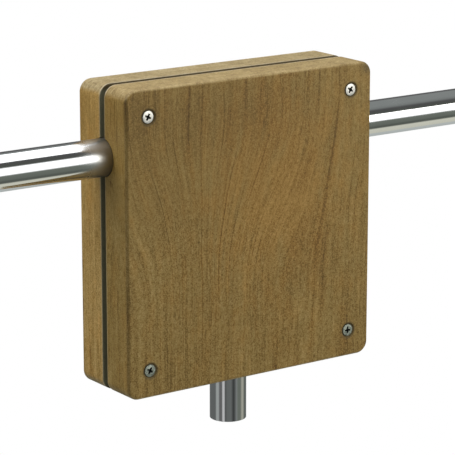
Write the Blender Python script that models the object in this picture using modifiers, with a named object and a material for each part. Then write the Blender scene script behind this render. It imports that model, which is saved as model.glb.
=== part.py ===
"""Clamp-on wooden mounting pad, closed over the welded joint of a rail and a stanchion on a boat.

Metres, +Z up. The origin is the centre of the stanchion's lower end. X runs along the rail, the pad's front
face looks along -Y, and the four clamp screws run along Y from the front board into nuts in the rear board.
"""

import math

import bmesh
import bpy
from mathutils import Matrix

# Clearance between touching pieces
GAP = 0.0003

# Rail and stanchion, 25 mm stainless tube
TUBE_RADIUS = 0.0125
TUBE_WALL = 0.0015
RAIL_LENGTH = 0.420
STUB_LENGTH = 0.036
WELD_RADIUS = 0.0012

# The two boards
BOARD_WIDTH = 0.198
BOARD_HEIGHT = 0.205
BOARD_THICKNESS = 0.0255
BOARD_GAP = 0.005
CORNER_RADIUS = 0.0085
OUTER_EDGE_RADIUS = 0.0020
INNER_EDGE_RADIUS = 0.0006
RAIL_BELOW_TOP = 0.047

# The grooves: close to the tube near each mouth, wider between for the rubber strips
MOUTH_RADIUS = 0.0005
LIP_LENGTH = 0.006
LINER_THICKNESS = 0.0010
JUNCTION_CLEARANCE = 0.020

# M4 x 50 countersunk screws with washers and nuts
SCREW_INSET_X = 0.0173
SCREW_INSET_Z = 0.0183
SCREW_LENGTH = 0.050
THREAD_RADIUS = 0.0020
TIP_CHAMFER = 0.0006
HEAD_RADIUS = 0.0042
HEAD_RIM = 0.0003
HEAD_SUNK = 0.0005
COUNTERSINK_RADIUS = 0.0053
RECESS_WIDTH = 0.0013
RECESS_SPAN = 0.0047
RECESS_DEPTH = 0.0024
RECESS_BOTTOM_SCALE = 0.42
WASHER_RADIUS = 0.0045
WASHER_THICKNESS = 0.0008
NUT_FLATS = 0.0070
NUT_HEIGHT = 0.0032
THREAD_BEYOND_NUT = 0.0010
COUNTERBORE_RADIUS = 0.0060

# How far each screw was turned when it was tightened
SCREW_TURNS = {
    "upper_left": 25,
    "upper_right": 32,
    "lower_left": 30,
    "lower_right": 3,
}

# Facets round a full circle
TUBE_SEGMENTS = 48
FASTENER_SEGMENTS = 24

# Places worked out from the dimensions
BOARD_BOTTOM = STUB_LENGTH
BOARD_TOP = BOARD_BOTTOM + BOARD_HEIGHT
BOARD_MIDDLE = (BOARD_BOTTOM + BOARD_TOP) / 2
RAIL_HEIGHT = BOARD_TOP - RAIL_BELOW_TOP
LINER_RADIUS = TUBE_RADIUS + GAP + LINER_THICKNESS / 2
LIP_RADIUS = TUBE_RADIUS + GAP
GROOVE_RADIUS = TUBE_RADIUS + LINER_THICKNESS + 2 * GAP
HOLE_RADIUS = THREAD_RADIUS + GAP
PAD_HALF_DEPTH = BOARD_GAP / 2 + BOARD_THICKNESS
HEAD_TOP = PAD_HALF_DEPTH - HEAD_SUNK
SCREW_TIP = HEAD_TOP - SCREW_LENGTH
NUT_MIDDLE = SCREW_TIP + THREAD_BEYOND_NUT + NUT_HEIGHT / 2
WASHER_MIDDLE = NUT_MIDDLE + NUT_HEIGHT / 2 + GAP + WASHER_THICKNESS / 2
COUNTERBORE_FLOOR = WASHER_MIDDLE + WASHER_THICKNESS / 2 + GAP
OVERSHOOT = 0.004

# Local Z of a turned shape onto a world axis: along the rail, or out of the pad's front face
ALONG_RAIL = Matrix.Rotation(math.radians(90), 4, "Y")
OUT_OF_FRONT = Matrix.Rotation(math.radians(90), 4, "X")


def clear_scene():
    for obj in list(bpy.data.objects):
        bpy.data.objects.remove(obj)


def collection(name):
    made = bpy.data.collections.new(name)
    bpy.context.scene.collection.children.link(made)
    return made


def material(name, colour, roughness, metallic):
    made = bpy.data.materials.new(name)
    made.use_nodes = True
    shader = made.node_tree.nodes["Principled BSDF"]
    shader.inputs["Base Color"].default_value = (*colour, 1.0)
    shader.inputs["Roughness"].default_value = roughness
    shader.inputs["Metallic"].default_value = metallic
    made.diffuse_color = (*colour, 1.0)
    return made


def place(name, mesh, matrix, group, finish=None):
    """An object of this mesh at this place, in a collection, with its material."""
    obj = bpy.data.objects.new(name, mesh)
    obj.matrix_world = matrix
    group.objects.link(obj)
    if finish and not mesh.materials:
        mesh.materials.append(finish)
    return obj


def as_cutter(obj):
    obj.hide_render = True
    obj.display_type = "WIRE"
    return obj


def boolean(obj, other, operation="DIFFERENCE"):
    modifier = obj.modifiers.new(other.name, "BOOLEAN")
    modifier.operation = operation
    modifier.solver = "EXACT"
    modifier.object = other


def baked(obj):
    """The object's shape with its modifiers applied, as a mesh that copies can share. The object goes."""
    bpy.context.view_layer.update()
    graph = bpy.context.evaluated_depsgraph_get()
    mesh = bpy.data.meshes.new_from_object(obj.evaluated_get(graph))
    edit = bmesh.new()
    edit.from_mesh(mesh)
    bmesh.ops.remove_doubles(edit, verts=edit.verts, dist=1e-6)
    edit.to_mesh(mesh)
    edit.free()
    bpy.data.objects.remove(obj)
    return mesh


def turned(name, profile, matrix, group, finish=None, segments=FASTENER_SEGMENTS, closed=False):
    """A profile of (radius, height) points, outer side running downward, turned about the local Z axis."""
    edit = bmesh.new()
    points = [edit.verts.new((radius, 0, height)) for radius, height in profile]
    for first, second in zip(points, points[1:]):
        edit.edges.new((first, second))
    if closed:
        edit.edges.new((points[-1], points[0]))
    mesh = bpy.data.meshes.new(name)
    edit.to_mesh(mesh)
    edit.free()
    obj = place(name, mesh, matrix, group, finish)
    screw = obj.modifiers.new("turn", "SCREW")
    screw.steps = segments
    screw.render_steps = segments
    screw.use_merge_vertices = True
    screw.merge_threshold = 0.00001
    screw.use_smooth_shade = True
    return obj


def tube_profile(length):
    """The wall of a tube standing on z = 0, as a closed loop."""
    inner = TUBE_RADIUS - TUBE_WALL
    return [(TUBE_RADIUS, length), (TUBE_RADIUS, 0), (inner, 0), (inner, length)]


def mouth_rounding(foot, direction):
    """Points round the edge of a groove's mouth, from inside the lip out to the board's edge face."""
    steps = 4
    points = []
    for step in range(steps + 1):
        angle = math.radians(90) * step / steps
        across = LIP_RADIUS + MOUTH_RADIUS * (1 - math.cos(angle))
        points.append((across, foot + direction * MOUTH_RADIUS * (1 - math.sin(angle))))
    return points


def groove_profile(length, open_top):
    """A solid bar for a groove, with a mouth at its lower end, and one at its top if open_top is true."""
    flare = LIP_RADIUS + MOUTH_RADIUS
    if open_top:
        lip_foot = length - LIP_LENGTH
        upper = [(flare, length + OVERSHOOT)] + mouth_rounding(length, -1)[::-1]
        upper += [(LIP_RADIUS, lip_foot), (GROOVE_RADIUS, lip_foot)]
    else:
        upper = [(GROOVE_RADIUS, length)]
    lower = [(GROOVE_RADIUS, LIP_LENGTH), (LIP_RADIUS, LIP_LENGTH)]
    lower += mouth_rounding(0, 1) + [(flare, -OVERSHOOT)]
    return [(0, upper[0][1])] + upper + lower + [(0, -OVERSHOOT)]


def slab_mesh(side):
    """A board with rounded corners, its faces square to Y and its outer face on the given side."""
    edit = bmesh.new()
    bmesh.ops.create_cube(edit, size=1)
    bmesh.ops.scale(edit, vec=(BOARD_WIDTH, BOARD_THICKNESS, BOARD_HEIGHT), verts=edit.verts)
    corners = []
    for edge in edit.edges:
        first, second = edge.verts
        if abs(first.co.y - second.co.y) > BOARD_THICKNESS / 2:
            corners.append(edge)
    bmesh.ops.bevel(
        edit, geom=corners, offset=CORNER_RADIUS, segments=6, profile=0.5, affect="EDGES"
    )
    for facing, radius in ((side, OUTER_EDGE_RADIUS), (-side, INNER_EDGE_RADIUS)):
        inside = BOARD_THICKNESS / 2 - GAP
        rim = [edge for edge in edit.edges if min(facing * vert.co.y for vert in edge.verts) > inside]
        bmesh.ops.bevel(edit, geom=rim, offset=radius, segments=3, profile=0.5, affect="EDGES")
    mesh = bpy.data.meshes.new("board")
    edit.to_mesh(mesh)
    edit.free()
    return mesh


def board(name, side, group, finish, cutters):
    """One board, in front of the tubes (side -1) or behind them (side 1)."""
    middle = side * (BOARD_GAP + BOARD_THICKNESS) / 2
    obj = place(name, slab_mesh(side), Matrix.Translation((0, middle, BOARD_MIDDLE)), group, finish)
    for cutter in cutters:
        boolean(obj, cutter)
    return obj


def liner(name, side, length, matrix, group, finish):
    """A half-round rubber strip along local Z, stopping just short of the board's inner face."""
    lip = math.asin((BOARD_GAP / 2 + GAP) / LINER_RADIUS)
    steps = TUBE_SEGMENTS // 2
    edit = bmesh.new()
    points = []
    for step in range(steps + 1):
        angle = lip + (math.pi - 2 * lip) * step / steps
        across = LINER_RADIUS * math.cos(angle)
        points.append(edit.verts.new((across, side * LINER_RADIUS * math.sin(angle), 0)))
    edges = [edit.edges.new(pair) for pair in zip(points, points[1:])]
    grown = bmesh.ops.extrude_edge_only(edit, edges=edges)["geom"]
    moved = [item for item in grown if isinstance(item, bmesh.types.BMVert)]
    bmesh.ops.translate(edit, vec=(0, 0, length), verts=moved)
    mesh = bpy.data.meshes.new(name)
    edit.to_mesh(mesh)
    edit.free()
    mesh.shade_smooth()
    obj = place(name, mesh, matrix, group, finish)
    solidify = obj.modifiers.new("thickness", "SOLIDIFY")
    solidify.thickness = LINER_THICKNESS
    solidify.offset = 0
    return obj


def liners(half, side, group, finish):
    """The three strips of one board: left and right along the rail, and one along the stanchion."""
    reach = BOARD_WIDTH / 2 - LIP_LENGTH - GAP
    rail_run = reach - JUNCTION_CLEARANCE
    lower_start = BOARD_BOTTOM + LIP_LENGTH + GAP
    lower_run = RAIL_HEIGHT - JUNCTION_CLEARANCE - lower_start
    left = Matrix.Translation((-reach, 0, RAIL_HEIGHT)) @ ALONG_RAIL
    right = Matrix.Translation((JUNCTION_CLEARANCE, 0, RAIL_HEIGHT)) @ ALONG_RAIL
    lower = Matrix.Translation((0, 0, lower_start))
    return [
        liner(f"{half}_liner_left", side, rail_run, left, group, finish),
        liner(f"{half}_liner_right", side, rail_run, right, group, finish),
        liner(f"{half}_liner_lower", side, lower_run, lower, group, finish),
    ]


def bar_cutter(name, radius, length, matrix, group):
    edit = bmesh.new()
    bmesh.ops.create_cone(
        edit, cap_ends=True, segments=TUBE_SEGMENTS, radius1=radius, radius2=radius, depth=length
    )
    mesh = bpy.data.meshes.new(name)
    edit.to_mesh(mesh)
    edit.free()
    return as_cutter(place(name, mesh, matrix, group))


def weld_bead(group, cutters, finish):
    """The fillet round the foot of the rail, swept along the saddle where the two tubes meet."""
    count = 40
    saddle = TUBE_RADIUS + GAP
    curve = bpy.data.curves.new("weld_path", "CURVE")
    curve.dimensions = "3D"
    curve.bevel_depth = WELD_RADIUS
    curve.bevel_resolution = 2
    spline = curve.splines.new("POLY")
    spline.points.add(count - 1)
    for index, point in enumerate(spline.points):
        turn = 2 * math.pi * index / count
        x = TUBE_RADIUS * math.sin(turn)
        y = -TUBE_RADIUS * math.cos(turn)
        point.co = (x, y, RAIL_HEIGHT - math.sqrt(saddle**2 - y**2), 1)
    spline.use_cyclic_u = True
    path = bpy.data.objects.new("weld_path", curve)
    group.objects.link(path)
    obj = place("weld_bead", baked(path), Matrix.Identity(4), group, finish)
    for cutter in cutters:
        boolean(obj, cutter)
    return obj


def recess_arm(name, turn, group):
    """One tapered bar of the cross recess, narrowing towards its bottom."""
    edit = bmesh.new()
    bmesh.ops.create_cube(edit, size=1)
    bmesh.ops.scale(edit, vec=(RECESS_SPAN, RECESS_WIDTH, RECESS_DEPTH + GAP), verts=edit.verts)
    for vert in edit.verts:
        if vert.co.z < 0:
            vert.co.x *= RECESS_BOTTOM_SCALE
            vert.co.y *= RECESS_BOTTOM_SCALE
    mesh = bpy.data.meshes.new(name)
    edit.to_mesh(mesh)
    edit.free()
    middle = (GAP - RECESS_DEPTH) / 2
    matrix = Matrix.Translation((0, 0, middle)) @ Matrix.Rotation(math.radians(turn), 4, "Z")
    return as_cutter(place(name, mesh, matrix, group))


def screw_mesh(group, cutters):
    """A countersunk screw along local Z, its head's top at z = 0."""
    cone_end = -HEAD_RIM - (HEAD_RADIUS - THREAD_RADIUS)
    profile = [
        (0, 0),
        (HEAD_RADIUS, 0),
        (HEAD_RADIUS, -HEAD_RIM),
        (THREAD_RADIUS, cone_end),
        (THREAD_RADIUS, TIP_CHAMFER - SCREW_LENGTH),
        (THREAD_RADIUS - TIP_CHAMFER, -SCREW_LENGTH),
        (0, -SCREW_LENGTH),
    ]
    obj = turned("screw", profile, Matrix.Identity(4), group)
    for name, turn in (("recess_arm_a", 0), ("recess_arm_b", 90)):
        boolean(obj, recess_arm(name, turn, cutters))
    return baked(obj)


def nut_mesh(group, cutters):
    """A hexagonal nut along local Z, centred, its corners taken off at both faces."""
    corner = NUT_FLATS / math.sqrt(3)
    edit = bmesh.new()
    bmesh.ops.create_cone(
        edit, cap_ends=True, segments=6, radius1=corner, radius2=corner, depth=NUT_HEIGHT
    )
    mesh = bpy.data.meshes.new("nut")
    edit.to_mesh(mesh)
    edit.free()
    obj = place("nut", mesh, Matrix.Identity(4), group)
    top = NUT_HEIGHT / 2 + OVERSHOOT
    bore = turned(
        "nut_bore",
        [(0, top), (HOLE_RADIUS, top), (HOLE_RADIUS, -top), (0, -top)],
        Matrix.Identity(4),
        cutters,
    )
    half = NUT_HEIGHT / 2
    drop = (corner - NUT_FLATS / 2) / 2
    face = NUT_FLATS / 2
    rounding = turned(
        "nut_rounding",
        [(0, half), (face, half), (corner, half - drop), (corner, drop - half), (face, -half), (0, -half)],
        Matrix.Identity(4),
        cutters,
    )
    boolean(obj, as_cutter(rounding), "INTERSECT")
    boolean(obj, as_cutter(bore))
    return baked(obj)


def washer_mesh(group):
    half = WASHER_THICKNESS / 2
    profile = [(WASHER_RADIUS, half), (WASHER_RADIUS, -half), (HOLE_RADIUS, -half), (HOLE_RADIUS, half)]
    return baked(turned("washer", profile, Matrix.Identity(4), group, closed=True))


def cavity_mesh(group):
    """The hole for one screw through both boards: countersink, clearance hole and nut counterbore."""
    face = PAD_HALF_DEPTH
    profile = [
        (0, face + OVERSHOOT),
        (COUNTERSINK_RADIUS + OVERSHOOT, face + OVERSHOOT),
        (HOLE_RADIUS, face - (COUNTERSINK_RADIUS - HOLE_RADIUS)),
        (HOLE_RADIUS, COUNTERBORE_FLOOR),
        (COUNTERBORE_RADIUS, COUNTERBORE_FLOOR),
        (COUNTERBORE_RADIUS, -face - OVERSHOOT),
        (0, -face - OVERSHOOT),
    ]
    return baked(turned("screw_cavity", profile, Matrix.Identity(4), group))


def corner_axes():
    """Each corner's name and the matrix that takes local Z out of the pad's front there."""
    reach = BOARD_WIDTH / 2 - SCREW_INSET_X
    upper = BOARD_TOP - SCREW_INSET_Z
    lower = BOARD_BOTTOM + SCREW_INSET_Z
    axes = {}
    for level, height in (("upper", upper), ("lower", lower)):
        for hand, x in (("left", -reach), ("right", reach)):
            axes[f"{level}_{hand}"] = Matrix.Translation((x, 0, height)) @ OUT_OF_FRONT
    return axes


def handle(name, group, pieces):
    """An empty at the origin that carries the pieces of one half of the clamp."""
    empty = bpy.data.objects.new(name, None)
    group.objects.link(empty)
    for piece in pieces:
        piece.parent = empty


def tubes(group, cutters, finish, weld_finish):
    """The rail, the stanchion coped to fit under it, and the weld between them."""
    rail_start = Matrix.Translation((-RAIL_LENGTH / 2, 0, RAIL_HEIGHT)) @ ALONG_RAIL
    turned(
        "rail_tube", tube_profile(RAIL_LENGTH), rail_start, group, finish, TUBE_SEGMENTS, closed=True
    )
    stanchion = turned(
        "stanchion_tube",
        tube_profile(RAIL_HEIGHT),
        Matrix.Identity(4),
        group,
        finish,
        TUBE_SEGMENTS,
        closed=True,
    )
    middle = Matrix.Translation((0, 0, RAIL_HEIGHT))
    clear_radius = TUBE_RADIUS + GAP
    cope_length = 6 * TUBE_RADIUS
    along_rail = bar_cutter("rail_clearance", clear_radius, cope_length, middle @ ALONG_RAIL, cutters)
    along_stanchion = bar_cutter("stanchion_clearance", clear_radius, cope_length, middle, cutters)
    boolean(stanchion, along_rail)
    weld_bead(group, (along_rail, along_stanchion), weld_finish)


def main():
    clear_scene()
    parts = collection("clamp_on_mounting_pad")
    cutters = collection("cutters")
    teak = material("teak", (0.21, 0.13, 0.045), 0.55, 0.0)
    polished = material("polished_stainless", (0.72, 0.73, 0.74), 0.12, 1.0)
    welded = material("weld_metal", (0.55, 0.54, 0.52), 0.35, 1.0)
    fastener = material("fastener_steel", (0.66, 0.67, 0.66), 0.25, 1.0)
    rubber = material("black_rubber", (0.02, 0.022, 0.02), 0.8, 0.0)

    tubes(parts, cutters, polished, welded)

    left_end = Matrix.Translation((-BOARD_WIDTH / 2, 0, RAIL_HEIGHT)) @ ALONG_RAIL
    underside = Matrix.Translation((0, 0, BOARD_BOTTOM))
    rail_groove = turned(
        "rail_groove",
        groove_profile(BOARD_WIDTH, open_top=True),
        left_end,
        cutters,
        segments=TUBE_SEGMENTS,
    )
    stanchion_groove = turned(
        "stanchion_groove",
        groove_profile(RAIL_HEIGHT - BOARD_BOTTOM, open_top=False),
        underside,
        cutters,
        segments=TUBE_SEGMENTS,
    )
    axes = corner_axes()
    cavity = cavity_mesh(cutters)
    cuts = [as_cutter(rail_groove), as_cutter(stanchion_groove)]
    for corner, axis in axes.items():
        cuts.append(as_cutter(place(f"cavity_{corner}", cavity, axis, cutters)))

    screw = screw_mesh(parts, cutters)
    nut = nut_mesh(parts, cutters)
    washer = washer_mesh(parts)
    front = [board("front_board", -1, parts, teak, cuts)]
    front += liners("front", -1, parts, rubber)
    rear = [board("rear_board", 1, parts, teak, cuts)]
    rear += liners("rear", 1, parts, rubber)
    for corner, axis in axes.items():
        turn = Matrix.Rotation(-math.radians(SCREW_TURNS[corner]), 4, "Z")
        head = axis @ Matrix.Translation((0, 0, HEAD_TOP)) @ turn
        under_nut = axis @ Matrix.Translation((0, 0, WASHER_MIDDLE))
        on_thread = axis @ Matrix.Translation((0, 0, NUT_MIDDLE)) @ turn
        front.append(place(f"screw_{corner}", screw, head, parts, fastener))
        rear.append(place(f"washer_{corner}", washer, under_nut, parts, fastener))
        rear.append(place(f"nut_{corner}", nut, on_thread, parts, fastener))
    handle("front_half", parts, front)
    handle("rear_half", parts, rear)


main()
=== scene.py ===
"""Looks of the clamp-on mounting pad: two oiled teak boards screwed together round polished tubes.

Everything is in metres in the CAD's frame: X along the rail, the pad's front towards -Y, +Z up.
Materials count in millimetres, and the teak's and fasteners' heights start at the boards' middle.
"""

import math

import bmesh
import bpy
from mathutils import Matrix, Vector


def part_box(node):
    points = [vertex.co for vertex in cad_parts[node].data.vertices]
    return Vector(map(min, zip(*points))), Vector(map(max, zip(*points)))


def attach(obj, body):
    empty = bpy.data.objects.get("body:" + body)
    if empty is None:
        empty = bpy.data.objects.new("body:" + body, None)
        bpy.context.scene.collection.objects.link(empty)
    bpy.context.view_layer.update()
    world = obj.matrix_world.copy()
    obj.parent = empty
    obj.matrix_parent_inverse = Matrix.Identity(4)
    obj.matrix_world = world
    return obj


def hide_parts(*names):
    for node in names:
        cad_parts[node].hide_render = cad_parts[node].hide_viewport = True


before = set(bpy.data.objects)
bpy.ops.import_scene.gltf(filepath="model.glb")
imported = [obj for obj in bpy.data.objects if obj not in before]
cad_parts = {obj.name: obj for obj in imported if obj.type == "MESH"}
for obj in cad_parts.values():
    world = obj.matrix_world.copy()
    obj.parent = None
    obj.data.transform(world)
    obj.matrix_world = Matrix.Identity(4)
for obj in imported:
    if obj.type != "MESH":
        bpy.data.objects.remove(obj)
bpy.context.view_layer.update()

MM = 0.001
CORNERS = ("upper_left", "upper_right", "lower_left", "lower_right")
HALVES = (("front", -1), ("rear", 1))

# Clearance between touching pieces, and how far a cutter reaches past what it cuts
GAP = 0.3 * MM
OVERSHOOT = 4 * MM

# Boards: roundings, grooves and screw holes
CORNER_RADIUS = 8.5 * MM
OUTER_EDGE_RADIUS = 2.0 * MM
INNER_EDGE_RADIUS = 0.6 * MM
MOUTH_RADIUS = 0.5 * MM
LIP_LENGTH = 6 * MM
COUNTERSINK_RADIUS = 5.3 * MM
COUNTERBORE_RADIUS = 6.0 * MM
HOLE_LIP = 0.35 * MM
HOLE_RADIUS = 2.3 * MM

# Rubber strips: their thinning towards the two lips, and the ribs along their inside
LINER_THICKNESS = 1.0 * MM
LINER_STEPS = 72
LINER_LIP_START = 0.45
LINER_LIP_GROWTH = 9
LINER_RIBS = 9
RIB_HEIGHT = 0.10 * MM

# Tubes, and the loops near their ends that keep the wall's shading straight
TUBE_WALL = 1.5 * MM
TUBE_EDGE = 0.25 * MM
EDGE_SUPPORT = 1.0 * MM

# Weld bead
WELD_RADIUS = 1.0 * MM
WELD_RIPPLE = 0.18 * MM
WELD_RIPPLES = 46
WELD_STEPS = 240
WELD_SIDES = 14

# Screws: M4, with a plain length under the head
THREAD_RADIUS = 2.0 * MM
THREAD_PITCH = 0.7 * MM
THREAD_DEPTH = 0.38 * MM
THREAD_TIP = 0.7 * MM
THREAD_COLUMNS = 36
THREAD_ROWS_PER_TURN = 7
SHANK_LENGTH = 9 * MM
SHANK_RELIEF = 0.02 * MM
ROD_BURIED = 5 * MM
HEAD_ROUNDING = 0.12 * MM
HEAD_RIM = 0.3 * MM
NECK_LENGTH = 0.3 * MM
SCREW_TURNS = {"upper_left": 25, "upper_right": 32, "lower_left": 30, "lower_right": 3}

# Cross recess: wings narrowing downward in span and width, round a conical middle
RECESS_SPAN = 5.1 * MM
RECESS_WIDTH = 1.5 * MM
RECESS_DEPTH = 2.4 * MM
WING_END_SPAN = 0.42
WING_END_WIDTH = 0.55
WING_ROUNDING = 0.28 * MM
CONE_RADII = (1.5 * MM, 1.2 * MM, 0.55 * MM)
CONE_POINT = 1.15

# Nuts and washers
NUT_FLATS = 7 * MM
NUT_FACE_SHARE = 0.97
NUT_CHAMFER = 30
NUT_MOUTH_RADII = (3.3 * MM, 1.8 * MM)
NUT_MOUTH_ABOVE = 1.0 * MM
NUT_MOUTH_BELOW = 0.5 * MM
TAP_CLEARANCE = 0.06 * MM
WASHER_ROUNDING = 0.15 * MM

ALONG_RAIL = Matrix.Rotation(math.radians(90), 4, "Y")
OUT_OF_FRONT = Matrix.Rotation(math.radians(90), 4, "X")

FRONT_LOW, FRONT_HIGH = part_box("front_board")
REAR_LOW, REAR_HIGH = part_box("rear_board")
RAIL_LOW, RAIL_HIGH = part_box("rail_tube")
BOARD_MIDDLE = (FRONT_LOW.z + FRONT_HIGH.z) / 2
BOARD_WIDTH = FRONT_HIGH.x - FRONT_LOW.x
TUBE_RADIUS = (RAIL_HIGH.z - RAIL_LOW.z) / 2
RAIL_HEIGHT = (RAIL_HIGH.z + RAIL_LOW.z) / 2
LIP_RADIUS = TUBE_RADIUS + GAP
GROOVE_RADIUS = TUBE_RADIUS + LINER_THICKNESS + 2 * GAP
SCREW_LOW, SCREW_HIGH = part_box("screw_upper_right")
SCREW_X = (SCREW_LOW.x + SCREW_HIGH.x) / 2
SCREW_RISE = (SCREW_LOW.z + SCREW_HIGH.z) / 2 - BOARD_MIDDLE


# ---------------------------------------------------------------- mesh helpers


def new_mesh(name, edit):
    mesh = bpy.data.meshes.new(name)
    edit.to_mesh(mesh)
    edit.free()
    return mesh


def add(name, mesh, matrix=None):
    obj = bpy.data.objects.new(name, mesh)
    if matrix is not None:
        obj.matrix_world = matrix
    bpy.context.scene.collection.objects.link(obj)
    return obj


def baked(obj, sharp_angle=35):
    """Applies the modifiers and the place, and shades smooth between sharp edges."""
    bpy.context.view_layer.update()
    graph = bpy.context.evaluated_depsgraph_get()
    mesh = bpy.data.meshes.new_from_object(obj.evaluated_get(graph))
    mesh.transform(obj.matrix_world)
    edit = bmesh.new()
    edit.from_mesh(mesh)
    bmesh.ops.remove_doubles(edit, verts=edit.verts, dist=1e-6)
    edit.to_mesh(mesh)
    edit.free()
    mesh.shade_smooth()
    mesh.set_sharp_from_angle(angle=math.radians(sharp_angle))
    obj.modifiers.clear()
    obj.data = mesh
    obj.matrix_world = Matrix.Identity(4)
    return obj


def turned(name, profile, matrix, segments=96, closed=False):
    """A profile of (radius, height) points, outer side running downward, turned about local Z."""
    edit = bmesh.new()
    points = [edit.verts.new((radius, 0, height)) for radius, height in profile]
    for first, second in zip(points, points[1:]):
        edit.edges.new((first, second))
    if closed:
        edit.edges.new((points[-1], points[0]))
    obj = add(name, new_mesh(name, edit), matrix)
    screw = obj.modifiers.new("turn", "SCREW")
    screw.steps = segments
    screw.render_steps = segments
    screw.use_merge_vertices = True
    screw.merge_threshold = 1e-6
    return baked(obj)


def arc(centre_radius, centre_height, radius, start, end, steps=6):
    """Points of a rounding in a turned profile, angles in degrees from +radius towards +height."""
    points = []
    for step in range(steps + 1):
        angle = math.radians(start + (end - start) * step / steps)
        across = centre_radius + radius * math.cos(angle)
        points.append((across, centre_height + radius * math.sin(angle)))
    return points


def cut(obj, cutters, operation="DIFFERENCE", sharp_angle=35):
    for cutter in cutters:
        modifier = obj.modifiers.new("cut", "BOOLEAN")
        modifier.operation = operation
        modifier.solver = "EXACT"
        modifier.object = cutter
    return baked(obj, sharp_angle)


def discard(*objects):
    for obj in objects:
        bpy.data.objects.remove(obj)


def finish_piece(obj, body, nodes, material):
    """Gives a new piece its material and its body, and hides the CAD nodes that it stands for."""
    obj.data.materials.clear()
    obj.data.materials.append(material)
    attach(obj, body)
    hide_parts(*nodes)
    return obj


# ---------------------------------------------------------------- material helpers


class Graph:
    """Builds a material's or the world's nodes from short calls that return output sockets."""

    def __init__(self, tree):
        self.tree = tree
        self.tree.nodes.clear()

    def node(self, kind, **settings):
        made = self.tree.nodes.new(kind)
        for key, value in settings.items():
            setattr(made, key, value)
        return made

    def feed(self, socket, value):
        if isinstance(value, bpy.types.NodeSocket):
            self.tree.links.new(value, socket)
        elif isinstance(value, (tuple, list)) and socket.type == "RGBA":
            socket.default_value = (*value[:3], 1.0)
        else:
            socket.default_value = value

    def math(self, operation, *values, clamp=False):
        made = self.node("ShaderNodeMath", operation=operation, use_clamp=clamp)
        for socket, value in zip(made.inputs, values):
            self.feed(socket, value)
        return made.outputs[0]

    def add(self, *values):
        total = values[0]
        for value in values[1:]:
            total = self.math("ADD", total, value)
        return total

    def times(self, *values):
        total = values[0]
        for value in values[1:]:
            total = self.math("MULTIPLY", total, value)
        return total

    def minus(self, first, second):
        return self.math("SUBTRACT", first, second)

    def fade(self, value, start, end, low=0.0, high=1.0):
        """Smooth step from low at start to high at end."""
        made = self.node("ShaderNodeMapRange", interpolation_type="SMOOTHSTEP")
        for socket, number in zip(made.inputs, (value, start, end, low, high)):
            self.feed(socket, number)
        return made.outputs[0]

    def bell(self, value, centre, width):
        """1 at the centre, falling to 0 over about twice the width."""
        offset = self.math("DIVIDE", self.minus(value, centre), width)
        return self.math("EXPONENT", self.times(offset, offset, -1.0))

    def combine(self, x, y, z):
        made = self.node("ShaderNodeCombineXYZ")
        for socket, value in zip(made.inputs, (x, y, z)):
            self.feed(socket, value)
        return made.outputs[0]

    def position(self):
        """X, Y and Z in millimetres in the piece's own frame."""
        place = self.node("ShaderNodeTexCoord").outputs["Object"]
        split = self.node("ShaderNodeSeparateXYZ")
        self.feed(split.inputs[0], place)
        return [self.times(socket, 1000.0) for socket in split.outputs]

    def noise(self, x, y, z, detail=2.0, roughness=0.5):
        """Noise from 0 to 1, mean about 0.5, its cells one unit wide."""
        made = self.node("ShaderNodeTexNoise")
        self.feed(made.inputs["Vector"], self.combine(x, y, z))
        self.feed(made.inputs["Scale"], 1.0)
        self.feed(made.inputs["Detail"], detail)
        self.feed(made.inputs["Roughness"], roughness)
        return made.outputs["Fac"]

    def clouds(self, place, per_mm, per_mm_up, detail=2.0):
        """Noise from 0 to 1 at a place in millimetres, with its own scale along Z."""
        x, y, z = place
        sideways = self.times(x, per_mm), self.times(y, per_mm)
        return self.noise(*sideways, self.times(z, per_mm_up), detail=detail)

    def signed(self, value):
        """Noise from -1 to 1."""
        return self.math("MULTIPLY_ADD", value, 2.0, -1.0)

    def ramp(self, factor, stops):
        made = self.node("ShaderNodeValToRGB")
        elements = made.color_ramp.elements
        elements.remove(elements[-1])
        elements[0].position = stops[0][0]
        elements[0].color = (*stops[0][1], 1.0)
        for place, colour in stops[1:]:
            elements.new(place).color = (*colour, 1.0)
        self.feed(made.inputs["Fac"], factor)
        return made.outputs["Color"]

    def mix(self, factor, first, second, blend="MIX"):
        made = self.node("ShaderNodeMix", data_type="RGBA", blend_type=blend)
        self.feed(made.inputs["Factor"], factor)
        self.feed(made.inputs[6], first)
        self.feed(made.inputs[7], second)
        return made.outputs[2]

    def bump(self, height, strength, distance):
        made = self.node("ShaderNodeBump")
        self.feed(made.inputs["Strength"], strength)
        self.feed(made.inputs["Distance"], distance)
        self.feed(made.inputs["Height"], height)
        return made.outputs["Normal"]

    def surface(self, **sockets):
        """A Principled shader joined to the output. Keys are socket names with _ for spaces."""
        shader = self.node("ShaderNodeBsdfPrincipled")
        for key, value in sockets.items():
            self.feed(shader.inputs[key.replace("_", " ")], value)
        output = self.node("ShaderNodeOutputMaterial")
        self.tree.links.new(shader.outputs[0], output.inputs["Surface"])


def material(name):
    made = bpy.data.materials.new(name)
    made.use_nodes = True
    return made, Graph(made.node_tree)


# ---------------------------------------------------------------- materials

# Teak's colour by tone, from dark to pale: along the grain, and where the grain ends
LONG_GRAIN = [
    (0.0, (0.134, 0.067, 0.010)),
    (0.3, (0.267, 0.153, 0.033)),
    (0.5, (0.365, 0.224, 0.062)),
    (0.7, (0.445, 0.290, 0.095)),
    (1.0, (0.552, 0.380, 0.158)),
]
END_GRAIN = [
    (0.0, (0.22, 0.145, 0.052)),
    (0.5, (0.400, 0.281, 0.115)),
    (1.0, (0.54, 0.410, 0.205)),
]
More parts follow.
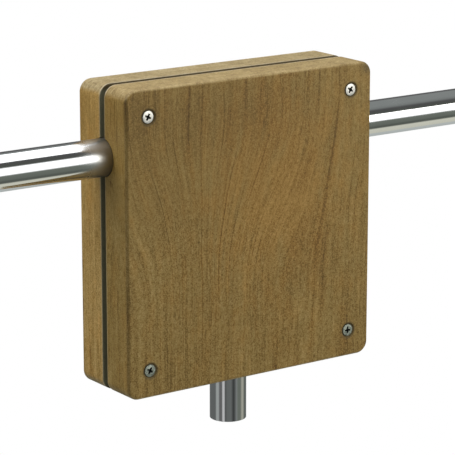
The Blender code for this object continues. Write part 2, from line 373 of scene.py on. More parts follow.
# What the long grain is multiplied by at the two ends of its change of hue
GREYISH = (0.94, 0.98, 1.02)
RUSSET = (1.08, 0.98, 0.82)
PORE = (0.080, 0.046, 0.015)
# Painted highlight: the pale colour of the gap's rounded edges, where they catch the light
PAINTED_EDGE_HIGHLIGHT = (0.62, 0.53, 0.36)
# Painted shade on the rounding of the left front edge
PAINTED_EDGE_SHADE = (0.030, 0.026, 0.014)
# Painted shade at the front board's upper right corner
PAINTED_CORNER_SHADE = (0.060, 0.058, 0.040)
# Painted shade, with some dirt round the screws: the countersinks and the gap's top and bottom ends
DEEP_SHADE = (0.040, 0.038, 0.024)
# Painted shade deep in the gap between the boards
GAP_SHADE_GREEN = (0.185, 0.215, 0.160)

# The shift of the grain from board to board for each unit of seed, in millimetres
SEED_DEPTH = 7.3
# Where the grain's fan has its heart line, and how far to each side it still grows, in millimetres
HEART_X = -41.0
FAN_REACH = 60.0

# The tubes' and fasteners' colours
TUBE_SHADES = ((0.70, 0.71, 0.72), (0.78, 0.785, 0.79))
# Painted shade on the rail near the pad: its shadow and the dark reflection of the gap
RAIL_SHADE_NEAR_PAD = (0.21, 0.19, 0.14)
# Painted reflections on the fasteners: bright on the upper ones, dim and greenish on the lower ones
BRIGHT_REFLECTION_SHADES = ((0.80, 0.78, 0.73), (0.92, 0.90, 0.86))
DIM_REFLECTION_SHADES = ((0.30, 0.33, 0.28), (0.66, 0.70, 0.61))
# Painted shade in the screws' cross recesses
RECESS_SHADE = (0.035, 0.035, 0.035)
# Painted shade at the screw heads' rounded rims
RIM_SHADE = (0.10, 0.10, 0.09)
HEAT_TINT = [
    (0.3, (0.30, 0.24, 0.17)),
    (0.5, (0.52, 0.49, 0.44)),
    (0.75, (0.66, 0.66, 0.66)),
]
RUBBER_SHADES = ((0.012, 0.013, 0.012), (0.035, 0.034, 0.030))


def grain_lines(g, x, y, z, seed, fan):
    """The coordinate across the grain in mm: crowded low down, fanning out towards the top."""
    below_top = g.fade(z, -40.0, 80.0, 1.0, 0.0)
    share = g.math("DIVIDE", g.add(x, -HEART_X), FAN_REACH)
    from_heart = g.times(g.math("TANH", share), FAN_REACH)
    hold = g.add(g.bell(x, -28.0, 66.0), 0.08)
    crowding = g.times(from_heart, hold, below_top, fan)
    slow_y = g.add(g.times(y, 0.03), seed)
    wander = g.signed(g.noise(g.times(x, 0.02), slow_y, g.times(z, 0.012), detail=1.0))
    shifted_x = g.add(g.times(x, 0.09), seed)
    drift = g.signed(g.noise(shifted_x, g.times(y, 0.09), g.times(z, 0.03)))
    return g.add(x, crowding, g.times(wander, 4.0), g.times(drift, 0.8))


def end_grain_mask(g, x, z):
    """1 on a board's top and bottom, 0 on its upright faces and its right-hand corners."""
    facing = g.node("ShaderNodeSeparateXYZ")
    g.feed(facing.inputs[0], g.node("ShaderNodeTexCoord").outputs["Normal"])
    near_end = g.fade(g.math("ABSOLUTE", z), 92.0, 95.0)
    lying = g.fade(g.math("ABSOLUTE", facing.outputs["Z"]), 0.12, 0.62)
    return g.times(near_end, lying, g.fade(x, 94.0, 88.0))


def painted_edges_and_shade(g, colour, x, y, z, end_grain):
    """Painted light and shade: a pale highlight along the gap's edges, and shade on the left front
    edge, at the upper right corner, in the countersinks with some dirt, and in the gap.
    """
    from_gap = g.math("ABSOLUTE", y)
    # Painted highlight: the gap's edges made paler, more on the top and bottom faces
    highlight_strength = g.add(0.18, g.times(end_grain, 0.55))
    painted_edge_highlight = g.times(g.fade(from_gap, 2.75, 3.1), g.fade(from_gap, 4.3, 3.3), highlight_strength)
    colour = g.mix(painted_edge_highlight, colour, PAINTED_EDGE_HIGHLIGHT)
    # Painted shade: a dark line along the left front edge's rounding
    painted_left_edge_shade = g.times(g.fade(x, -96.6, -98.0), g.fade(y, -25.4, -27.0), 0.32)
    colour = g.mix(painted_left_edge_shade, colour, PAINTED_EDGE_SHADE)
    # Painted shade: the upper right corner darkened
    painted_corner_shade = g.times(g.fade(x, 88.0, 97.0), g.fade(z, 92.0, 99.0), 0.55)
    colour = g.mix(painted_corner_shade, colour, PAINTED_CORNER_SHADE)
    # Painted shadow with some dirt: a dark ring in and around the countersinks
    clear_of_countersink_shade = g.fade(from_screw_axis(g, x, z), 5.0, 6.6, 0.45, 1.0)
    colour = g.mix(clear_of_countersink_shade, DEEP_SHADE, colour)
    # Painted shade in the gap between the boards: greenish along its sides, darker at its top and
    # bottom ends
    gap_shade_colour = g.mix(g.fade(g.math("ABSOLUTE", z), 97.0, 101.0), GAP_SHADE_GREEN, DEEP_SHADE)
    return g.mix(g.fade(from_gap, 2.6, 3.15, 0.22, 1.0), gap_shade_colour, colour)


def teak(name, seed, fan, tint, end_tint):
    """Oiled teak, grain along Z: streaks, specks and short pores, pale end grain, and painted
    highlights and shade on edges, corners, countersinks and the gap.
    """
    made, g = material(name)
    x, y, height = g.position()
    z = g.minus(height, BOARD_MIDDLE * 1000)
    across = grain_lines(g, x, y, z, seed, fan)
    depth = g.add(y, seed * SEED_DEPTH)
    place = (x, depth, z)

    def streaks(width, length, shift):
        sideways = g.add(g.math("DIVIDE", across, width), seed + shift)
        inward = g.math("DIVIDE", depth, width * 1.3)
        lengthwise = g.math("DIVIDE", z, length)
        return g.noise(sideways, inward, lengthwise, detail=1.0, roughness=0.6)

    broad = g.signed(streaks(15.0, 150.0, 3.0))
    medium = g.signed(streaks(5.0, 60.0, 11.0))
    fine = g.signed(streaks(2.1, 70.0, 23.0))
    hair = g.signed(streaks(0.85, 20.0, 37.0))
    lines = g.fade(streaks(1.7, 170.0, 91.0), 0.58, 0.78)
    pores = g.fade(streaks(0.85, 6.0, 51.0), 0.66, 0.76)
    fleck = g.signed(g.clouds(place, 0.62, 0.42, detail=1.0))
    speck = g.signed(g.clouds(place, 1.8, 1.4, detail=0.0))
    patches = g.signed(g.clouds(place, 0.024, 0.016))

    # The upper left of the face is smoother, with a darker band below its top edge
    shade_band = g.times(g.bell(z, 80.0, 26.0), g.fade(x, 45.0, 5.0))
    smoother = g.times(g.fade(z, -10.0, 35.0), g.fade(x, 40.0, -30.0, 0.5, 1.0), 0.38)
    calm = g.minus(1.0, smoother)
    streaking = g.add(g.times(medium, 0.12), g.times(fine, 0.26), g.times(hair, 0.22))
    speckling = g.add(g.times(fleck, 0.28), g.times(speck, 0.50))
    tone = g.add(
        0.53,
        g.times(broad, 0.13),
        g.times(g.add(streaking, speckling), calm),
        g.times(lines, -0.30),
        g.times(patches, 0.10),
        g.times(shade_band, -0.15),
    )
    long_grain = g.ramp(tone, LONG_GRAIN)
    greyish = g.mix(1.0, long_grain, GREYISH, "MULTIPLY")
    russet = g.mix(1.0, long_grain, RUSSET, "MULTIPLY")
    hue = g.add(g.signed(streaks(7.0, 60.0, 71.0)), g.signed(g.clouds(place, 0.11, 0.07)))
    golden = g.times(g.bell(x, 22.0, 60.0), g.bell(z, 20.0, 75.0))
    lean = g.add(0.16, g.times(hue, 0.55), g.times(golden, 0.75))
    colour = g.mix(g.fade(lean, 0.0, 1.0), greyish, russet)
    colour = g.mix(g.times(pores, calm, 0.28), colour, PORE)
    colour = g.mix(1.0, colour, tint, "MULTIPLY")

    end_grain = end_grain_mask(g, x, z)
    rings = g.signed(g.noise(g.times(x, 0.022), g.times(depth, 0.75), seed, detail=2.0))
    end_tone = g.add(
        0.5,
        g.add(g.times(fine, 0.34), g.times(fleck, 0.50), g.times(speck, 0.50)),
        g.times(broad, 0.3),
        g.times(medium, 0.3),
        g.times(rings, 0.55),
    )
    pale = g.mix(1.0, g.ramp(end_tone, END_GRAIN), end_tint, "MULTIPLY")
    colour = g.mix(end_grain, colour, pale)
    colour = painted_edges_and_shade(g, colour, x, y, z, end_grain)

    raised = g.add(g.times(fine, 0.4), g.times(hair, 0.35))
    relief = g.add(raised, g.times(pores, -0.9), g.times(fleck, 0.3))
    g.surface(
        Base_Color=colour,
        Roughness=g.add(0.55, g.times(fine, 0.06), g.times(pores, 0.15)),
        Specular_IOR_Level=0.4,
        Normal=g.bump(relief, 0.4, 0.00010),
    )
    return made


def from_screw_axis(g, x, z):
    """The distance in mm from the nearest screw's axis, with z from the boards' middle."""
    aside = g.minus(g.math("ABSOLUTE", x), SCREW_X * 1000)
    above = g.minus(g.math("ABSOLUTE", z), SCREW_RISE * 1000)
    return g.math("SQRT", g.add(g.times(aside, aside), g.times(above, above)))


def polished_steel(name, lengthwise):
    """Mirror-polished tube with faint lines and soft smears, the rail rougher near the pad and with
    painted shade there.
    """
    made, g = material(name)
    x, y, z = g.position()
    along, across = (x, z) if lengthwise == "X" else (z, x)
    lines = g.noise(g.times(along, 0.05), g.times(across, 5.0), g.times(y, 5.0), detail=2.0)
    smear = g.clouds((x, y, z), 0.06, 0.06, detail=3.0)
    rough = g.add(0.055, g.times(g.fade(smear, 0.5, 0.75), 0.06), g.times(lines, 0.03))
    colour = g.mix(smear, *TUBE_SHADES)
    if lengthwise == "X":
        board_end = BOARD_WIDTH * 500
        # Painted shade: the rail darkened near the pad
        shade_near_pad = g.fade(g.math("ABSOLUTE", x), board_end + 14.0, board_end + 1.0)
        colour = g.mix(g.times(shade_near_pad, 0.70), colour, RAIL_SHADE_NEAR_PAD)
        scuffed = g.fade(x, -board_end - 32.0, -board_end - 4.0, 0.0, 0.32)
        rough = g.add(rough, g.times(scuffed, g.fade(x, 40.0, 0.0)))
    g.surface(
        Base_Color=colour,
        Metallic=1.0,
        Roughness=rough,
        Normal=g.bump(lines, 0.05, 0.00002),
    )
    return made


def fastener_steel(name):
    """Stainless fasteners, painted with a bright reflection on the upper ones and a dim one on the
    lower ones, and painted shade in the recesses and at the heads' rims.
    """
    made, g = material(name)
    x, y, height = g.position()
    z = g.minus(height, BOARD_MIDDLE * 1000)
    grain = g.clouds((x, y, z), 1.3, 1.3, detail=3.0)
    # Painted reflection: the upper fasteners bright, the lower ones dim
    bright = g.mix(grain, *BRIGHT_REFLECTION_SHADES)
    dim_reflection = g.mix(g.fade(grain, 0.40, 0.62), *DIM_REFLECTION_SHADES)
    colour = g.mix(g.fade(z, -30.0, 30.0), dim_reflection, bright)
    head_top = SCREW_LOW.y * 1000
    below_top = g.fade(y, head_top + 0.02, head_top + 0.14)
    in_head = g.fade(y, head_top + 2.4, head_top + 2.7, 1.0, 0.0)
    from_axis = from_screw_axis(g, x, z)
    # Painted shade: the cross recess darkened
    in_recess = g.times(below_top, in_head, g.fade(from_axis, 2.7, 3.0, 1.0, 0.0))
    colour = g.mix(g.times(in_recess, 0.86), colour, RECESS_SHADE)
    # Painted shade: the head's outer rim darkened
    rim_shade = g.times(in_head, g.fade(from_axis, 3.5, 4.15, 0.0, 0.62))
    colour = g.mix(rim_shade, colour, RIM_SHADE)
    g.surface(
        Base_Color=colour,
        Metallic=1.0,
        Roughness=g.add(0.30, g.times(grain, 0.16)),
        Normal=g.bump(grain, 0.15, 0.00004),
    )
    return made


def weld_metal(name):
    """Brushed weld with straw-brown heat tint."""
    made, g = material(name)
    grain = g.clouds(g.position(), 0.9, 0.9, detail=4.0)
    g.surface(
        Base_Color=g.ramp(grain, HEAT_TINT),
        Metallic=1.0,
        Roughness=g.add(0.28, g.times(grain, 0.2)),
        Normal=g.bump(grain, 0.3, 0.0001),
    )
    return made


def rubber(name):
    """Matt black rubber with a fine moulded grain and a trace of dust."""
    made, g = material(name)
    place = g.position()
    grain = g.clouds(place, 2.5, 2.5, detail=3.0)
    dust = g.clouds(place, 0.15, 0.15, detail=4.0)
    g.surface(
        Base_Color=g.mix(g.fade(dust, 0.45, 0.8), *RUBBER_SHADES),
        Roughness=g.add(0.62, g.times(grain, 0.2)),
        Normal=g.bump(grain, 0.4, 0.0001),
    )
    return made


# ---------------------------------------------------------------- boards


def screw_axis(corner):
    """The x and z of a screw's axis, and the y of its head's top and of its tip."""
    low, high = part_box(f"screw_{corner}")
    return (low.x + high.x) / 2, (low.z + high.z) / 2, low.y, high.y


def groove_cutter(name, matrix, length, open_top):
    """A groove's bar: close to the tube near each open end, wider between, each mouth rounded."""
    flare = LIP_RADIUS + MOUTH_RADIUS
    points = [(0, length), (GROOVE_RADIUS, length)]
    if open_top:
        points = [(0, length + OVERSHOOT), (flare, length + OVERSHOOT)]
        points += arc(flare, length - MOUTH_RADIUS, MOUTH_RADIUS, 90, 180)
        points += [(LIP_RADIUS, length - LIP_LENGTH), (GROOVE_RADIUS, length - LIP_LENGTH)]
    points += [(GROOVE_RADIUS, LIP_LENGTH), (LIP_RADIUS, LIP_LENGTH)]
    points += arc(flare, MOUTH_RADIUS, MOUTH_RADIUS, 180, 270)
    points += [(flare, -OVERSHOOT), (0, -OVERSHOOT)]
    return turned(name, points, matrix, segments=128)


def cavity_cutter(corner):
    """Countersink, clearance hole and nut counterbore, with a small rounded lip at each face."""
    x, z, _, _ = screw_axis(corner)
    washer_low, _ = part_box(f"washer_{corner}")
    floor = -(washer_low.y - GAP)
    front = -FRONT_LOW.y
    rear = -REAR_HIGH.y
    wide_front = COUNTERSINK_RADIUS + HOLE_LIP
    wide_rear = COUNTERBORE_RADIUS + HOLE_LIP
    points = [(0, front + OVERSHOOT), (wide_front, front + OVERSHOOT)]
    points += arc(wide_front, front - HOLE_LIP, HOLE_LIP, 90, 150, steps=3)
    points += [
        (HOLE_RADIUS, front - (COUNTERSINK_RADIUS - HOLE_RADIUS)),
        (HOLE_RADIUS, floor),
        (COUNTERBORE_RADIUS, floor),
    ]
    points += arc(wide_rear, rear + HOLE_LIP, HOLE_LIP, 180, 270, steps=3)
    points += [(wide_rear, rear - OVERSHOOT), (0, rear - OVERSHOOT)]
    matrix = Matrix.Translation((x, 0, z)) @ OUT_OF_FRONT
    return turned(f"cavity_{corner}", points, matrix, segments=64)


def slab(name, low, high, side):
    """A board with rounded corners and rounded edges all round both faces."""
    size = high - low
    edit = bmesh.new()
    bmesh.ops.create_cube(edit, size=1)
    bmesh.ops.scale(edit, vec=size, verts=edit.verts)
    corners = [e for e in edit.edges if abs(e.verts[0].co.y - e.verts[1].co.y) > size.y / 2]
    bmesh.ops.bevel(
        edit, geom=corners, offset=CORNER_RADIUS, segments=24, profile=0.5, affect="EDGES"
    )
    just_inside = size.y / 2 - GAP
    for facing, radius, steps in ((side, OUTER_EDGE_RADIUS, 8), (-side, INNER_EDGE_RADIUS, 4)):
        rim = [e for e in edit.edges if min(facing * v.co.y for v in e.verts) > just_inside]
        bmesh.ops.bevel(edit, geom=rim, offset=radius, segments=steps, profile=0.5, affect="EDGES")
    return add(name, new_mesh(name, edit), Matrix.Translation((low + high) / 2))


def make_boards():
    left_end = Matrix.Translation((FRONT_LOW.x, 0, RAIL_HEIGHT)) @ ALONG_RAIL
    underside = Matrix.Translation((0, 0, FRONT_LOW.z))
    cutters = [
        groove_cutter("rail_groove", left_end, BOARD_WIDTH, open_top=True),
        groove_cutter("stanchion_groove", underside, RAIL_HEIGHT - FRONT_LOW.z, open_top=False),
    ]
    cutters += [cavity_cutter(corner) for corner in CORNERS]
    woods = {
        "front": teak("teak_front", 0.0, 1.25, (0.955, 0.94, 0.82), end_tint=(0.98, 0.98, 0.94)),
        "rear": teak("teak_rear", 5.7, 0.3, (1.35, 1.31, 1.27), end_tint=(1.0, 1.06, 1.18)),
    }
    for half, side in HALVES:
        low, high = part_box(f"{half}_board")
        board = cut(slab(f"{half}_teak_board", low, high, side), cutters)
        weighted = board.modifiers.new("face_normals", "WEIGHTED_NORMAL")
        weighted.keep_sharp = True
        finish_piece(board, f"{half}_half", [f"{half}_board"], woods[half])
    discard(*cutters)


# ---------------------------------------------------------------- liners


def liner_section(side):
    """The outline of a half-round strip: out along its back, and home along its ribbed inside."""
    inner = TUBE_RADIUS + GAP
    lip = math.asin((REAR_LOW.y + GAP) / (inner + LINER_THICKNESS / 2))
    back = []
    inside = []
    for step in range(LINER_STEPS + 1):
        share = step / LINER_STEPS
        angle = lip + (math.pi - 2 * lip) * share
        from_lip = min(share, 1 - share)
        rounding = min(1.0, LINER_LIP_GROWTH * from_lip + LINER_LIP_START)
        rib = RIB_HEIGHT * (0.5 - 0.5 * math.cos(2 * math.pi * LINER_RIBS * share))
        back.append((angle, inner + LINER_THICKNESS * (0.5 + 0.5 * rounding)))
        ribbed = inner + rib + LINER_THICKNESS * (0.5 - 0.5 * rounding)
        inside.append((angle, min(ribbed, inner + LINER_THICKNESS)))
    section = back + inside[::-1]
    return [(r * math.cos(angle), side * r * math.sin(angle), 0) for angle, r in section]


def make_liner(node, side, rubber_finish):
    """A half-round rubber strip with rounded lips and shallow ribs along its inside."""
    low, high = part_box(node)
    along_x = (high.x - low.x) > (high.z - low.z)
    length = high.x - low.x if along_x else high.z - low.z
    edit = bmesh.new()
    face = edit.faces.new([edit.verts.new(point) for point in liner_section(side)])
    grown = bmesh.ops.extrude_face_region(edit, geom=[face])["geom"]
    moved = [item for item in grown if isinstance(item, bmesh.types.BMVert)]
    bmesh.ops.translate(edit, vec=(0, 0, length), verts=moved)
    bmesh.ops.recalc_face_normals(edit, faces=edit.faces)
    if along_x:
        matrix = Matrix.Translation((low.x, 0, RAIL_HEIGHT)) @ ALONG_RAIL
    else:
        matrix = Matrix.Translation((0, 0, low.z))
    obj = baked(add(f"{node}_strip", new_mesh(node, edit), matrix), 50)
    half = node.split("_")[0]
    finish_piece(obj, f"{half}_half", [node], rubber_finish)


# ---------------------------------------------------------------- tubes and weld


def tube(name, matrix, length):
    """An open tube standing on local z = 0, the edges of its ends just broken."""
    inner = TUBE_RADIUS - TUBE_WALL
    r = TUBE_EDGE
    near, far = EDGE_SUPPORT, length - EDGE_SUPPORT
    points = arc(TUBE_RADIUS - r, length - r, r, 90, 0, 3)
    points += [(TUBE_RADIUS, far), (TUBE_RADIUS, near)]
    points += arc(TUBE_RADIUS - r, r, r, 0, -90, 3)
    points += arc(inner + r, r, r, -90, -180, 3)
    points += [(inner, near), (inner, far)]
    points += arc(inner + r, length - r, r, 180, 90, 3)
    return turned(name, points, matrix, segments=160, closed=True)


def bar(name, matrix, radius, length):
    profile = [(0, length / 2), (radius, length / 2), (radius, -length / 2), (0, -length / 2)]
    return turned(name, profile, matrix, segments=160)


def weld_ring():
    """A rippled bead along the saddle where the stanchion meets the rail."""
    saddle = TUBE_RADIUS + GAP
    downward = Vector((0, 0, -1))
    edit = bmesh.new()
    rings = []
    for index in range(WELD_STEPS):
        turn = 2 * math.pi * index / WELD_STEPS
        outward = Vector((math.sin(turn), -math.cos(turn), 0))
        centre = outward * TUBE_RADIUS
        centre.z = RAIL_HEIGHT - math.sqrt(saddle**2 - centre.y**2)
        ripple = abs(math.sin(turn * WELD_RIPPLES / 2)) ** 0.6
        radius = WELD_RADIUS + WELD_RIPPLE * ripple
        ring = []
        for side in range(WELD_SIDES):
            angle = 2 * math.pi * side / WELD_SIDES
            offset = outward * math.cos(angle) + downward * math.sin(angle)
            ring.append(edit.verts.new(centre + offset * radius))
        rings.append(ring)
    for ring, after in zip(rings, rings[1:] + rings[:1]):
        for side in range(WELD_SIDES):
            other = (side + 1) % WELD_SIDES
            edit.faces.new((ring[side], ring[other], after[other], after[side]))
    bmesh.ops.recalc_face_normals(edit, faces=edit.faces)
    return add("weld_bead_rippled", new_mesh("weld", edit))


def make_tubes():
    rail_steel = polished_steel("polished_rail", "X")
    stanchion_steel = polished_steel("polished_stanchion", "Z")
    middle = Matrix.Translation((0, 0, RAIL_HEIGHT))
    clear = TUBE_RADIUS + GAP
    rail_clearance = bar("rail_clearance", middle @ ALONG_RAIL, clear, 6 * TUBE_RADIUS)
    stanchion_clearance = bar("stanchion_clearance", middle, clear, 6 * TUBE_RADIUS)
    rail_start = Matrix.Translation((RAIL_LOW.x, 0, RAIL_HEIGHT)) @ ALONG_RAIL
    rail = tube("rail_polished", rail_start, RAIL_HIGH.x - RAIL_LOW.x)
    stanchion = tube("stanchion_polished", Matrix.Identity(4), RAIL_HEIGHT)
    stanchion = cut(stanchion, [rail_clearance])
    weld = cut(weld_ring(), [rail_clearance, stanchion_clearance], sharp_angle=60)
    discard(rail_clearance, stanchion_clearance)
    finish_piece(rail, "rail", ["rail_tube"], rail_steel)
    finish_piece(stanchion, "rail", ["stanchion_tube"], stanchion_steel)
    finish_piece(weld, "rail", ["weld_bead"], weld_metal("weld_metal_tinted"))


# ---------------------------------------------------------------- fasteners


def thread_rod(name, length, radius, start):
    """A closed rod hanging from local z = 0, threaded from start to its chamfered tip."""
    rows = round(length / THREAD_PITCH * THREAD_ROWS_PER_TURN)
    edit = bmesh.new()
    rings = []
    for row in range(rows + 1):
        down = length * row / rows
        grow = min(1.0, max(0.0, (down - start) / THREAD_PITCH))
        taper = max(0.0, down - (length - THREAD_TIP))
        ring = []
        for column in range(THREAD_COLUMNS):
            share = column / THREAD_COLUMNS
            phase = (down / THREAD_PITCH + share) % 1.0
            groove = 1 - abs(2 * phase - 1)
            depth = THREAD_DEPTH * min(1.0, max(0.0, 1.25 * groove - 0.12)) * grow
            reach = min(radius - depth, radius - taper)
            angle = -2 * math.pi * share
            ring.append(edit.verts.new((reach * math.cos(angle), reach * math.sin(angle), -down)))
        rings.append(ring)
    for ring, below in zip(rings, rings[1:]):
        for column in range(THREAD_COLUMNS):
            other = (column + 1) % THREAD_COLUMNS
            edit.faces.new((ring[column], ring[other], below[other], below[column]))
    edit.faces.new(rings[0])
    edit.faces.new(rings[-1])
    bmesh.ops.recalc_face_normals(edit, faces=edit.faces)
    return add(name, new_mesh(name, edit))


def recess_cutter():
    """A cross recess: four tapered wings round a conical middle."""
    arms = []
    for turn in (0, 90):
        edit = bmesh.new()
        bmesh.ops.create_cube(edit, size=1)
        bmesh.ops.scale(
            edit, vec=(RECESS_SPAN, RECESS_WIDTH, RECESS_DEPTH + GAP), verts=edit.verts
        )
        for vert in edit.verts:
            if vert.co.z < 0:
                vert.co.x *= WING_END_SPAN
                vert.co.y *= WING_END_WIDTH
        upright = [e for e in edit.edges if abs(e.verts[0].co.z - e.verts[1].co.z) > RECESS_DEPTH]
        bmesh.ops.bevel(
            edit, geom=upright, offset=WING_ROUNDING, segments=4, profile=0.5, affect="EDGES"
        )
        middle = Matrix.Translation((0, 0, (GAP - RECESS_DEPTH) / 2))
        matrix = middle @ Matrix.Rotation(math.radians(turn), 4, "Z")
        arms.append(add(f"recess_{turn}", new_mesh("recess", edit), matrix))
    above, mouth, end = CONE_RADII
    cone = [(0, OVERSHOOT), (above, OVERSHOOT), (mouth, 0), (end, -RECESS_DEPTH)]
    cone.append((0, -CONE_POINT * RECESS_DEPTH))
    arms.append(turned("recess_cone", cone, Matrix.Identity(4), segments=32))
    return arms


def screw_head(reach):
    """A countersunk head with a softly rounded rim, its top at local z = 0, and a plain shank."""
    r = HEAD_ROUNDING
    shank = THREAD_RADIUS - SHANK_RELIEF
    cone_end = -HEAD_RIM - (reach - THREAD_RADIUS)
    points = [(0, 0)]
    points += arc(reach - r, -r, r, 90, 0, 4)
    points += [
        (reach, -HEAD_RIM),
        (THREAD_RADIUS + r, cone_end + r),
        (shank, cone_end - NECK_LENGTH),
        (shank, -SHANK_LENGTH),
        (0, -SHANK_LENGTH),
    ]
    return turned("head", points, Matrix.Identity(4), segments=64)


def make_screws(finish):
    low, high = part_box(f"screw_{CORNERS[0]}")
    recess = recess_cutter()
    head = cut(screw_head((high.x - low.x) / 2), recess, sharp_angle=30)
    rod_length = high.y - low.y - ROD_BURIED
    rod = thread_rod("rod", rod_length, THREAD_RADIUS, SHANK_LENGTH - ROD_BURIED)
    rod.matrix_world = Matrix.Translation((0, 0, -ROD_BURIED))
    screw = cut(head, [baked(rod)], "UNION", sharp_angle=30)
    discard(*recess, rod)
    for corner in CORNERS:
        x, z, head_top, _ = screw_axis(corner)
        spin = Matrix.Rotation(-math.radians(SCREW_TURNS[corner]), 4, "Z")
        matrix = Matrix.Translation((x, head_top, z)) @ OUT_OF_FRONT @ spin
        mesh = screw.data.copy()
        mesh.transform(matrix)
        piece = add(f"machine_screw_{corner}", mesh)
        finish_piece(piece, f"screw_{corner}", [f"screw_{corner}"], finish)
    discard(screw)


def make_nuts(finish):
    low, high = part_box(f"nut_{CORNERS[0]}")
    half = (high.y - low.y) / 2
    corner_reach = NUT_FLATS / math.sqrt(3)
    edit = bmesh.new()
    bmesh.ops.create_cone(
        edit, cap_ends=True, segments=6, radius1=corner_reach, radius2=corner_reach, depth=2 * half
    )
    nut = add("nut", new_mesh("nut", edit))
    face = NUT_FLATS / 2 * NUT_FACE_SHARE
    drop = (corner_reach - face) * math.tan(math.radians(NUT_CHAMFER))
    outline = [(0, half), (face, half), (corner_reach, half - drop)]
    outline += [(corner_reach, drop - half), (face, -half), (0, -half)]
    envelope = turned("envelope", outline, Matrix.Identity(4), segments=96)
    nut = cut(nut, [envelope], "INTERSECT", 20)
    length = 2 * half + 2 * THREAD_PITCH
    tap = thread_rod("tap", length, THREAD_RADIUS + THREAD_DEPTH + TAP_CLEARANCE, 0)
    tap.matrix_world = Matrix.Translation((0, 0, length / 2))
    above, below = NUT_MOUTH_ABOVE, -NUT_MOUTH_BELOW
    wide, narrow = NUT_MOUTH_RADII
    cone = [(0, above), (wide, above), (narrow, below), (0, below)]
    mouths = []
    for sign in (1, -1):
        flip = Matrix.Rotation(0 if sign > 0 else math.pi, 4, "X")
        mouths.append(turned("mouth", cone, Matrix.Translation((0, 0, sign * half)) @ flip, 48))
    nut = cut(nut, [baked(tap)] + mouths, sharp_angle=25)
    discard(envelope, tap, *mouths)
    for corner in CORNERS:
        low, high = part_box(f"nut_{corner}")
        x, z, _, _ = screw_axis(corner)
        spin = Matrix.Rotation(-math.radians(SCREW_TURNS[corner]), 4, "Z")
        matrix = Matrix.Translation((x, (low.y + high.y) / 2, z)) @ OUT_OF_FRONT @ spin
        mesh = nut.data.copy()
        mesh.transform(matrix)
        piece = add(f"hex_nut_{corner}", mesh)
        finish_piece(piece, f"nut_{corner}", [f"nut_{corner}"], finish)
    discard(nut)


def make_washers(finish):
    for corner in CORNERS:
        low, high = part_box(f"washer_{corner}")
        x, z, _, _ = screw_axis(corner)
        half = (high.y - low.y) / 2
        outer = (high.z - low.z) / 2
        r = WASHER_ROUNDING
        points = arc(outer - r, half - r, r, 90, 0, 3)
        points += arc(outer - r, r - half, r, 0, -90, 3)
        points += [(HOLE_RADIUS + r, -half), (HOLE_RADIUS, r - half)]
        points += [(HOLE_RADIUS, half - r), (HOLE_RADIUS + r, half)]
        matrix = Matrix.Translation((x, (low.y + high.y) / 2, z)) @ OUT_OF_FRONT
        piece = turned(f"flat_washer_{corner}", points, matrix, 72, closed=True)
        finish_piece(piece, "rear_half", [f"washer_{corner}"], finish)


# ---------------------------------------------------------------- studio

# Tints of the surroundings
PLAIN = (1.0, 1.0, 1.0)
COOL = (0.94, 1.0, 0.97)
GREEN = (0.90, 1.0, 0.86)
CREAM = (1.0, 1.0, 0.84)

# What stands round the pad, by azimuth in degrees from -Y towards +X: the upright tube mirrors it
UPRIGHT_BANDS = [
    (-170, 0.15, COOL),
    (-122, 0.15, COOL),
    (-112, 0.42, COOL),
    (-97, 0.40, COOL),
    (-90, 0.15, PLAIN),
    (-74, 0.16, PLAIN),
    (-68, 0.66, PLAIN),
    (-58, 0.55, PLAIN),
    (-53, 0.09, COOL),
    (-41, 0.16, COOL),
    (-16, 0.17, COOL),
    (-3, 0.065, COOL),
    (4, 0.065, COOL),
    (24, 0.28, COOL),
    (38, 0.38, GREEN),
    (48, 0.16, GREEN),
    (63, 0.42, CREAM),
    (76, 0.42, CREAM),
    (87, 0.15, GREEN),
    (120, 0.16, COOL),
]

# The same by the angle about X, from -Y upwards: the level tube mirrors it
LEVEL_BANDS = [
    (-140, 0.50, COOL),
    (-104, 0.58, COOL),
    (-96, 0.66, CREAM),
    (-64, 0.72, CREAM),
    (-56, 0.13, GREEN),
    (-46, 0.12, GREEN),
    (-38, 0.17, GREEN),
    (-13, 0.20, GREEN),
    (-6, 1.60, PLAIN),
    (30, 1.60, PLAIN),
    (37, 0.095, GREEN),
    (60, 0.095, PLAIN),
    (74, 0.24, COOL),
    (90, 0.28, COOL),
    (140, 0.28, COOL),
    (152, 0.12, PLAIN),
    (175, 0.12, PLAIN),
]

# What stands overhead for everything but the level tube
CEILING = (0.30, 0.31, 0.32)

# Camera: its direction and distance from the boards' middle, its lens, and its shift right and up
CAMERA_AZIMUTH = math.radians(-35.33)
CAMERA_ELEVATION = math.radians(13.91)
CAMERA_DISTANCE = 1.6163
CAMERA_LENS = 190.4
CAMERA_RIGHT = -0.00032
CAMERA_UP = -0.00504

# The stage's height and reach
FLOOR_HEIGHT = -0.25
STAGE_REACH = 9.0


def only_for_camera(obj):
    obj.visible_diffuse = False
    obj.visible_glossy = False
    obj.visible_transmission = False
    obj.visible_shadow = False


def make_stage():
    """A plain white floor and a white shell round it, which light nothing and mirror in nothing."""
    made, g = material("stage_white")
    glow = g.node("ShaderNodeEmission")
    g.feed(glow.inputs["Color"], (1.0, 1.0, 1.0))
    g.feed(glow.inputs["Strength"], 1.0)
    output = g.node("ShaderNodeOutputMaterial")
    g.tree.links.new(glow.outputs[0], output.inputs["Surface"])
    floor_edit = bmesh.new()
    bmesh.ops.create_grid(floor_edit, x_segments=1, y_segments=1, size=STAGE_REACH)
    floor = add("floor", new_mesh("floor", floor_edit), Matrix.Translation((0, 0, FLOOR_HEIGHT)))
    shell_edit = bmesh.new()
    bmesh.ops.create_icosphere(shell_edit, subdivisions=4, radius=STAGE_REACH)
    shell = add("backdrop", new_mesh("backdrop", shell_edit))
    for obj in (floor, shell):
        obj.data.materials.append(made)
        only_for_camera(obj)


